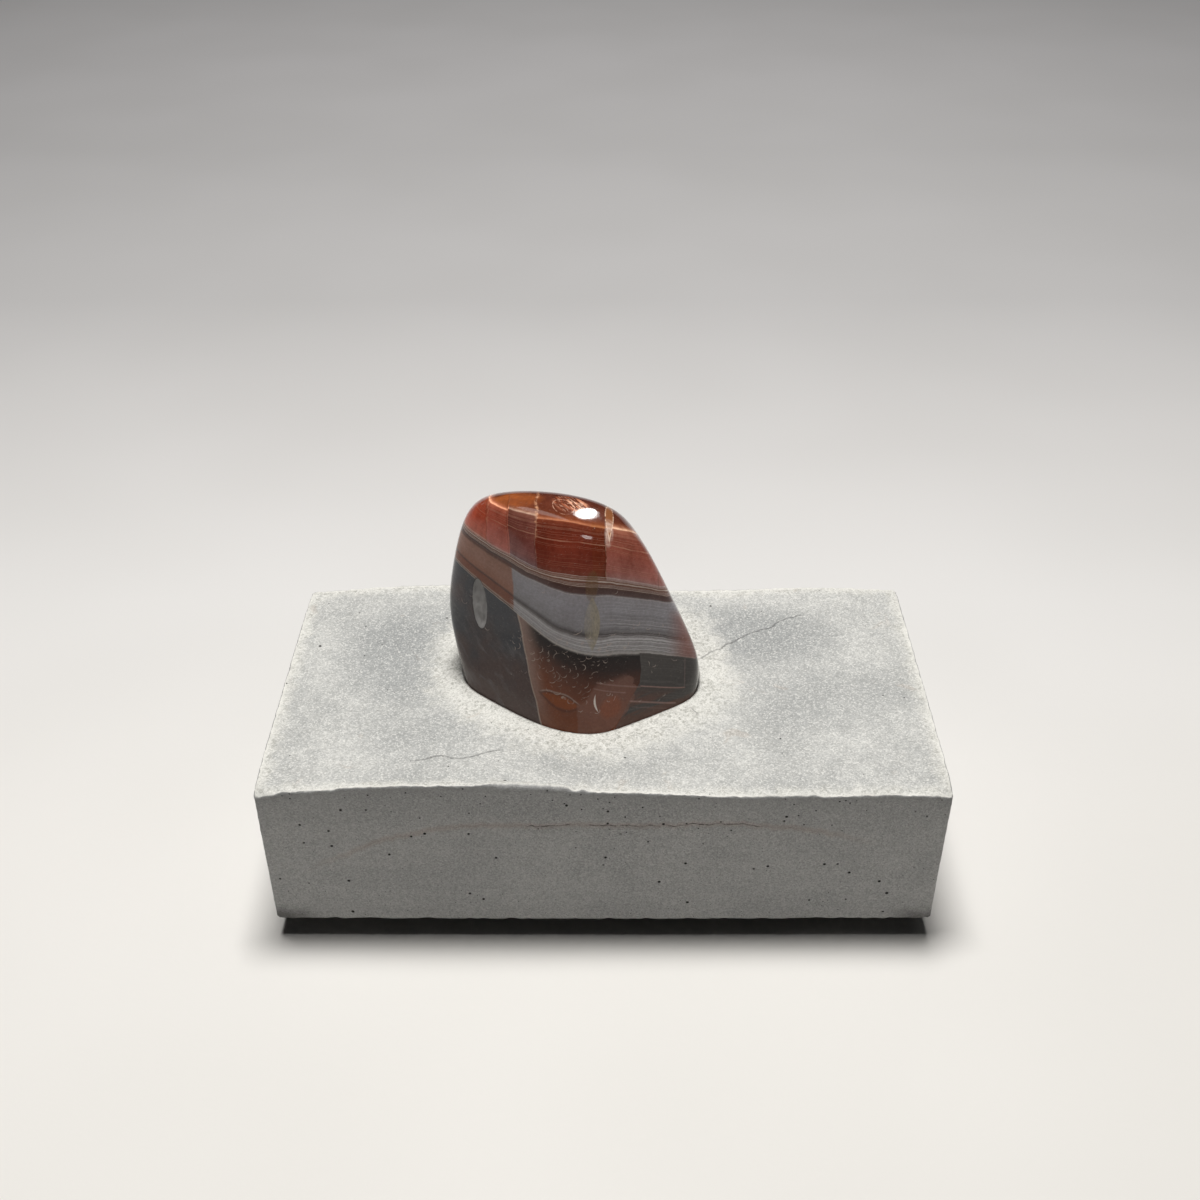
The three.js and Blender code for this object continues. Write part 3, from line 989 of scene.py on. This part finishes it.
def buildCastBase(material):
    outerX, outerY = baseOutline(0.0)
    count = len(outerX)
    outer = np.column_stack([outerX, outerY, np.full(count, baseTop)])
    wear = 0.16 + 0.14 * roughness3d(outer, 1.1, 3) + 0.3 * np.maximum(0,
                                                                       roughness3d(outer, 3.5, 2, 7.3) - 0.3)
    wear = np.clip(wear, 0.06, 0.7)
    lowWear = np.clip(0.6 + 0.7 * roughness3d(outer, 1.8, 3, 4.4), 0.2, 1.6)
    chips = chipDepth(outerX, outerY)
    inwardX, inwardY = baseOutline(1.0)
    toIn = np.column_stack([inwardX - outerX, inwardY - outerY])  # 1 mm inwards

    ragged = 0.16 * roughness3d(outer, 0.9, 3, 2.6) + lipSteps(outerX, outerY) - 0.12

    def edgeRing(inset, lower):
        x = outerX + toIn[:, 0] * inset
        y = outerY + toIn[:, 1] * inset
        return np.column_stack([x, y, topHeight(x, y) + ragged - lower])

    edge = edgeRing(wear + chips * 0.5, 0 * wear)
    shoulder = edgeRing((wear + chips * 0.4) * 0.4, wear * 0.3 + chips * 0.12)
    sideTop = edgeRing(0 * wear, wear * 0.8 + chips * 0.25)
    contact = socketRing(edge[:, 0], edge[:, 1], 0.0)

    rings = []
    wall = [socketRing(edge[:, 0], edge[:, 1], share) for share in (0.92, 0.75, 0.55, 0.38, 0.24, 0.12,
                                                                    0.05)]
    rings += wall
    # Top from the socket's mouth to the edge, closer spaced at both
    for step in np.linspace(0, 1, base["topRings"]):
        share = 0.5 * step + 0.5 * (step ** 1.6)
        x = contact[:, 0] + (edge[:, 0] - contact[:, 0]) * share
        y = contact[:, 1] + (edge[:, 1] - contact[:, 1]) * share
        rings.append(np.column_stack([x, y, topHeight(x, y) + ragged * np.clip(step * 12 - 11, 0, 1)]))
    rings += [shoulder, sideTop]
    bottomZ = base["bottom"]
    for share in np.linspace(0, 1, base["sideRings"])[1:]:
        inset = base["draft"] * share
        x, y = outerX + toIn[:, 0] * inset, outerY + toIn[:, 1] * inset
        foot = bottomZ + base["bottomBevel"]
        rings.append(np.column_stack([x, y, sideTop[:, 2] + (foot - sideTop[:, 2]) * share]))
    for inset, lift in ((0.12, 0.4), (0.55, 0.08), (1.8, 0.0), (4, 0.0), (9, 0.0), (15, 0.0), (21, 0.0)):
        x, y = baseOutline(base["draft"] + inset)
        nibble = np.clip(lowWear, 0, inset) * (inset < 1)
        x, y = x + toIn[:, 0] * nibble, y + toIn[:, 1] * nibble
        rings.append(np.column_stack([x, y, bottomZ + lift * lowWear]))

    points = np.concatenate(rings)
    firstTop = len(wall) * count
    lastTop = firstTop + base["topRings"] * count
    sideEnd = lastTop + (2 + base["sideRings"] - 1) * count
    fromStone = np.full(len(points), 99.0)
    fromEdge = np.full(len(points), 99.0)
    top = slice(firstTop, lastTop)
    topContact = np.tile(contact[:, :2], (base["topRings"], 1))
    fromStone[top] = np.linalg.norm(points[top, :2] - topContact, axis=1)
    halfLength, halfDepth = base["length"] / 2, base["depth"] / 2
    fromEdge[top] = np.minimum(halfLength - np.abs(points[top, 0]), halfDepth - np.abs(points[top, 1]))
    fromStone[:firstTop] = 0.0
    side = slice(lastTop, sideEnd)
    fromEdge[side] = np.repeat(sideTop[:, 2][None], 2 + base["sideRings"] - 1, 0).ravel() - points[side, 2]

    # Relief of the poured top, calmer at the socket's mouth
    calm = np.clip(fromStone[top] / 0.6, 0.15, 1)
    relief = 0.16 * roughness3d(points[top], 7.0, 3) + 0.07 * roughness3d(points[top], 1.7, 3, 3.1)
    crumbs = np.maximum(0, roughness3d(points[top], 0.9, 2, 9.7)) * bell(fromStone[top] - 2.5, 3.2) * 0.32
    points[top, 2] += (relief + crumbs) * calm
    # Relief of the mould faces, and the broken seam across the front
    outwardX, outwardY = -toIn[:, 0], -toIn[:, 1]
    rows = 2 + base["sideRings"] - 1
    outX, outY = np.tile(outwardX, rows), np.tile(outwardY, rows)
    press = 0.05 * roughness3d(points[side], 9.0, 3) + 0.035 * roughness3d(points[side], 1.4, 3, 5.5)
    press -= 0.22 * np.maximum(0, roughness3d(points[side], 1.1, 2, 2.2) - 0.55)
    seam = base["seam"]
    flat = points[side] * np.array([1, 1, 0])
    beyond = np.maximum(0, np.abs(flat[:, 0] - seam["middle"]) - seam["level"])
    wander = 0.5 * roughness3d(flat, 7.0, 2) + 0.35 * roughness3d(flat, 1.4, 4, 6.1)
    seamLine = baseTop + seam["z"] + wander - beyond ** 2 * seam["droop"]
    fromSeam = np.full(len(points), 99.0)
    fromSeam[side] = points[side, 2] - seamLine
    along = (points[side, 0] > seam["from"]) & (points[side, 0] < seam["to"]) & (points[side, 1] < 0)
    torn = np.clip(roughness3d(points[side], 2.2, 2, 8.8) * 2 + 0.6, 0, 1)
    press -= np.where(along, seam["depth"] * bell(points[side, 2] - seamLine, 0.35) * torn, 0)
    points[side, 0] += outX * press
    points[side, 1] += outY * press

    limit = np.array([base["length"] / 2, base["depth"] / 2])
    points[:, :2] = np.clip(points[:, :2], -limit, limit)
    faces = ringFaces(len(rings), count)[:, ::-1].tolist()
    lowest, under = len(points), len(points) + 1
    points = np.vstack([points, [stoneMiddle[0], stoneMiddle[1], wall[0][:, 2].min() - 0.05],
                        [0, 0, bottomZ]])
    last = (len(rings) - 1) * count
    for i in range(count):
        after = (i + 1) % count
        faces.append((lowest, i, after))
        faces.append((under, last + after, last + i))
    piece = newPiece("cast_base_block", points, faces, material)
    setValues(piece, "fromStone", np.append(fromStone, [0, 99]))
    setValues(piece, "fromEdge", np.append(fromEdge, [99, 99]))
    setValues(piece, "fromSeam", np.append(fromSeam, [99, 99]))
    poured = np.zeros(len(points))
    poured[firstTop:lastTop] = 1
    setValues(piece, "pouredTop", poured)
    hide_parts("cast_base")
    return piece


cementColours = {
    "light": (0.66, 0.66, 0.635),
    "dark": (0.44, 0.445, 0.435),
    "cream": (0.81, 0.8, 0.75),
    "mouldFace": (0.475, 0.475, 0.47),
    "mouldDark": (0.37, 0.372, 0.372),
    "hole": (0.035, 0.034, 0.034),
    "rust": (0.45, 0.33, 0.24),
    "darkest": (0.36, 0.37, 0.37),
    # Soft darker patches on the top: middle and half size in plan, strength
    "damp": [(-29, 8, 13, 12, 0.8), (24, 13, 14, 8, 0.8), (34, -3, 13, 9, 0.35), (-28, -14, 9, 6, 0.35)],
}


# A thin wandering crack on the top between two places in plan
def hairline(place, start, end, bend=0.0):
    x, y = axes(place)[:2]
    (x0, y0), (x1, y1) = start, end
    length = math.hypot(x1 - x0, y1 - y0)
    ux, uy = (x1 - x0) / length, (y1 - y0) / length
    dx, dy = minus(x, x0), minus(y, y0)
    along = total(product(dx, ux), product(dy, uy))
    off = total(product(dx, -uy), product(dy, ux))
    wander = product(minus(cloud(place, 4.0, detail=4), 0.5), 3.0)
    share = over(along, length)
    arch = product(product(share, minus(1.0, share)), 4 * bend)
    off = absolute(total(off, wander, arch))
    return product(ramped(off, 0.22, 0.04), within(along, 0.5, length - 0.5, 0.6))


def buildCementMaterial():
    material, shader = newMaterial("castCement", IOR=1.45, Specular_IOR_Level=0.3)
    place = placeInMm()
    x, y, z = axes(place)
    fromStone = attribute("fromStone")
    fromEdge = attribute("fromEdge")
    poured = attribute("pouredTop")
    colours = cementColours

    # Poured top: cool grey clouds, pale worn rims, a grainy cream ring around the stone
    broad = ramped(cloud(place, 15.0, detail=5, roughness=0.6), 0.32, 0.72)
    top = paint(colours["light"], colours["dark"], product(broad, 0.8))
    for centreX, centreY, halfX, halfY, strength in colours["damp"]:
        damp = oval(x, y, centreX, centreY, halfX, halfY, 0.9)
        top = paint(top, colours["darkest"], product(damp, strength))
    small = ramped(cloud(place, 2.0, detail=5, roughness=0.72), 0.38, 0.6)
    top = paint(top, colours["darkest"], product(small, 0.3))
    ragged = product(minus(cloud(place, 3.2, detail=5, roughness=0.65), 0.5), 9.0)
    ring = ramped(total(fromStone, ragged), 8.0, 3.0)
    rim = ramped(total(fromEdge, product(ragged, 0.55)), 3.0, 0.3)
    pale = highest(ring, rim)
    top = paint(top, colours["cream"], product(pale, 0.75))
    rust = ramped(cloud(place, 5.0, detail=3, distortion=0.8), 0.66, 0.74)
    top = paint(top, colours["rust"], product(rust, 0.2))

    # Mould faces: darker, smoother, with faint streaks along their length
    streaks = ramped(cloud(stretched(place, (0.08, 0.08, 1.0)), 1.4, detail=3), 0.4, 0.66)
    face = paint(colours["mouldFace"], colours["mouldDark"], product(streaks, 0.22))
    faceCloud = ramped(cloud(place, 8.0, detail=5, roughness=0.6), 0.4, 0.65)
    face = paint(face, colours["mouldDark"], product(faceCloud, 0.4))
    face = paint(face, colours["mouldDark"], product(ramped(z, 20.0, 27.5), 0.5))
    tone = paint(face, top, poured)

    # Fine even grain, coarser in the cream ring
    grain = useGroup(sandGrain, Place=place, Size=0.2, Softness=0.3)
    coarse = useGroup(sandGrain, Place=place, Size=0.55, Softness=0.2)
    tone = paint(tone, (0.6, 0.6, 0.59), product(ramped(grain["Speckle"], 0.52, 0.3), 0.55), "MULTIPLY")
    tone = paint(tone, (0.6, 0.6, 0.58), product(ramped(coarse["Speckle"], 0.48, 0.3), pale, poured, 0.7),
                 "MULTIPLY")
    glint = product(ramped(grain["Speckle"], 0.56, 0.7), scaled(poured, 0.35, 0.2))
    tone = paint(tone, (0.92, 0.91, 0.87), glint)
    lip = product(ramped(fromEdge, 0.9, 0.2), poured, 0.6)
    tone = paint(tone, (0.88, 0.87, 0.82), lip)
    underLip = product(ramped(fromEdge, 1.6, 0.2), minus(1.0, poured), 0.35)
    tone = paint(tone, (0.3, 0.3, 0.3), underLip)

    # Air pits, mostly on the mould faces and gathered in places, painted nearly black as the shade inside
    # them
    share = scaled(poured, -0.23, 0.25)
    gathered = ramped(cloud(place, 7.0, detail=2), 0.5, 0.68)
    lowLeft = product(oval(x, z, -24.0, 7.0, 8.0, 4.0, 0.6), minus(1.0, poured))
    share = total(share, product(share, gathered, 1.6), product(lowLeft, 0.3))
    holes = useGroup(pinholes, Place=place, Spacing=2.0, Radius=0.22, Share=product(share, 0.9))["Hole"]
    fewHoles = useGroup(pinholes, Place=place, Spacing=0.8, Radius=0.12, Share=product(share, 0.9))["Hole"]
    hole = highest(holes, fewHoles)

    # Broken seam across the front, with a rusty tint and a faint run to the left
    nearSeam = absolute(attribute("fromSeam"))
    front = ramped(y, -25.0, -26.0)
    torn = ramped(cloud(place, 1.1, detail=5, roughness=0.65), 0.38, 0.62)
    seamRun = highest(within(x, -12.0, 23.0, 1.5), product(within(x, -36.0, 36.0, 6.0), 0.22))
    seamMask = product(ramped(nearSeam, 0.17, 0.04), seamRun, front, torn)
    tint = product(ramped(nearSeam, 0.9, 0.1), within(x, -40.0, 36.0, 6.0), front)
    tone = paint(tone, (0.4, 0.29, 0.24), product(tint, 0.3))

    # Hairline cracks in the top
    crack = highest(hairline(place, (-28.0, -19.5), (-14.5, -17.0), 0.4),
                    hairline(place, (14.8, 6.0), (33.5, 18.5), -0.8))
    crack = product(highest(crack, hairline(place, (13.0, -6.3), (14.8, -8.6))), poured)
    # The pits' near-black is painted shade; cracks and the seam are darkened with the same colour
    darkest = highest(product(crack, 0.45), highest(hole, product(seamMask, 0.62)))
    tone = paint(tone, colours["hole"], darkest)

    # Painted shade in the socket's mouth and down its wall, dirt at the lower corners, and painted shade
    # under the base
    socketShade = ramped(fromStone, 0.35, 0.0)
    tone = paint(tone, (0.1, 0.09, 0.08), product(socketShade, 0.5))
    ends = ramped(absolute(x), 41.5, 47.5)
    foot = product(ends, ramped(total(z, product(ragged, 0.6)), 7.0, 3.2))
    tone = paint(tone, (0.08, 0.075, 0.07), product(foot, 0.75))

    # Painted shade on the underside and the lowest edge of the sides, darkening the gap over the paper
    underside = ramped(z, 3.6, 3.15)
    tone = paint(tone, (0.07, 0.068, 0.065), product(underside, 0.9))

    feed(shader["Base Color"], tone)
    feed(shader["Roughness"], scaled(grain["Speckle"], 0.15, 0.8))
    height = total(grain["Height"], product(darkest, -2.2), product(small, -0.4))
    feed(shader["Normal"], bump(height, 0.6, 0.00018))
    return material


basePiece = buildCastBase(buildCementMaterial())
print("cast base built:", len(basePiece.data.polygons), "faces")


# The rubber bumpers

bumper = {"radius": 4.5, "footRadius": 3.2, "shoulder": 1.6, "height": 3.1, "insetX": 12.0, "insetY": 11.0,
          "sides": 72}


def buildRubberMaterial():
    material, shader = newMaterial("bumperRubber", IOR=1.5, Specular_IOR_Level=0.4)
    place = placeInMm()
    grain = useGroup(sandGrain, Place=place, Size=0.16, Softness=0.6)
    dust = ramped(cloud(place, 1.8, detail=4), 0.45, 0.7)
    tone = paint((0.022, 0.022, 0.024), (0.09, 0.088, 0.082), product(dust, 0.5))
    feed(shader["Base Color"], tone)
    feed(shader["Roughness"], scaled(grain["Speckle"], 0.25, 0.55))
    feed(shader["Normal"], bump(grain["Height"], 0.3, 0.00004))
    return material


# Low dome with a flat foot and a thin moulded skirt under the base
def buildBumper(corner, signX, signY, material):
    spread = bumper["radius"] - bumper["footRadius"]
    turns = np.linspace(0, math.pi / 2, 12)
    dome = [(bumper["footRadius"] + spread * math.sin(turn),
             bumper["shoulder"] * (1 - math.cos(turn))) for turn in turns]
    top = bumper["height"] - 0.02
    profile = [(1.0, 0.0), (2.2, 0.0)] + dome + [(4.5, 2.2), (4.5, 2.6), (4.44, 2.72), (4.44, top - 0.06),
                                                 (4.4, top), (2.0, top)]
    angles = np.linspace(0, 2 * math.pi, bumper["sides"], endpoint=False)
    middleX = signX * (base["length"] / 2 - bumper["insetX"])
    middleY = signY * (base["depth"] / 2 - bumper["insetY"])
    rings = [np.column_stack([middleX + r * np.cos(angles), middleY + r * np.sin(angles),
                              np.full(len(angles), z)])
             for r, z in profile]
    points = np.concatenate(rings)
    count = len(angles)
    faces = ringFaces(len(rings), count).tolist()
    low, high = len(points), len(points) + 1
    last = (len(rings) - 1) * count
    points = np.vstack([points, [middleX, middleY, 0], [middleX, middleY, top]])
    for i in range(count):
        after = (i + 1) % count
        faces.append((low, after, i))
        faces.append((high, last + i, last + after))
    piece = newPiece("bumper_" + corner + "_pad", points, faces, material)
    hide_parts("bumper_" + corner)


rubber = buildRubberMaterial()
for corner, signX, signY in (("front_left", -1, -1), ("front_right", 1, -1), ("back_left", -1, 1),
                             ("back_right", 1, 1)):
    buildBumper(corner, signX, signY, rubber)
print("bumpers built")
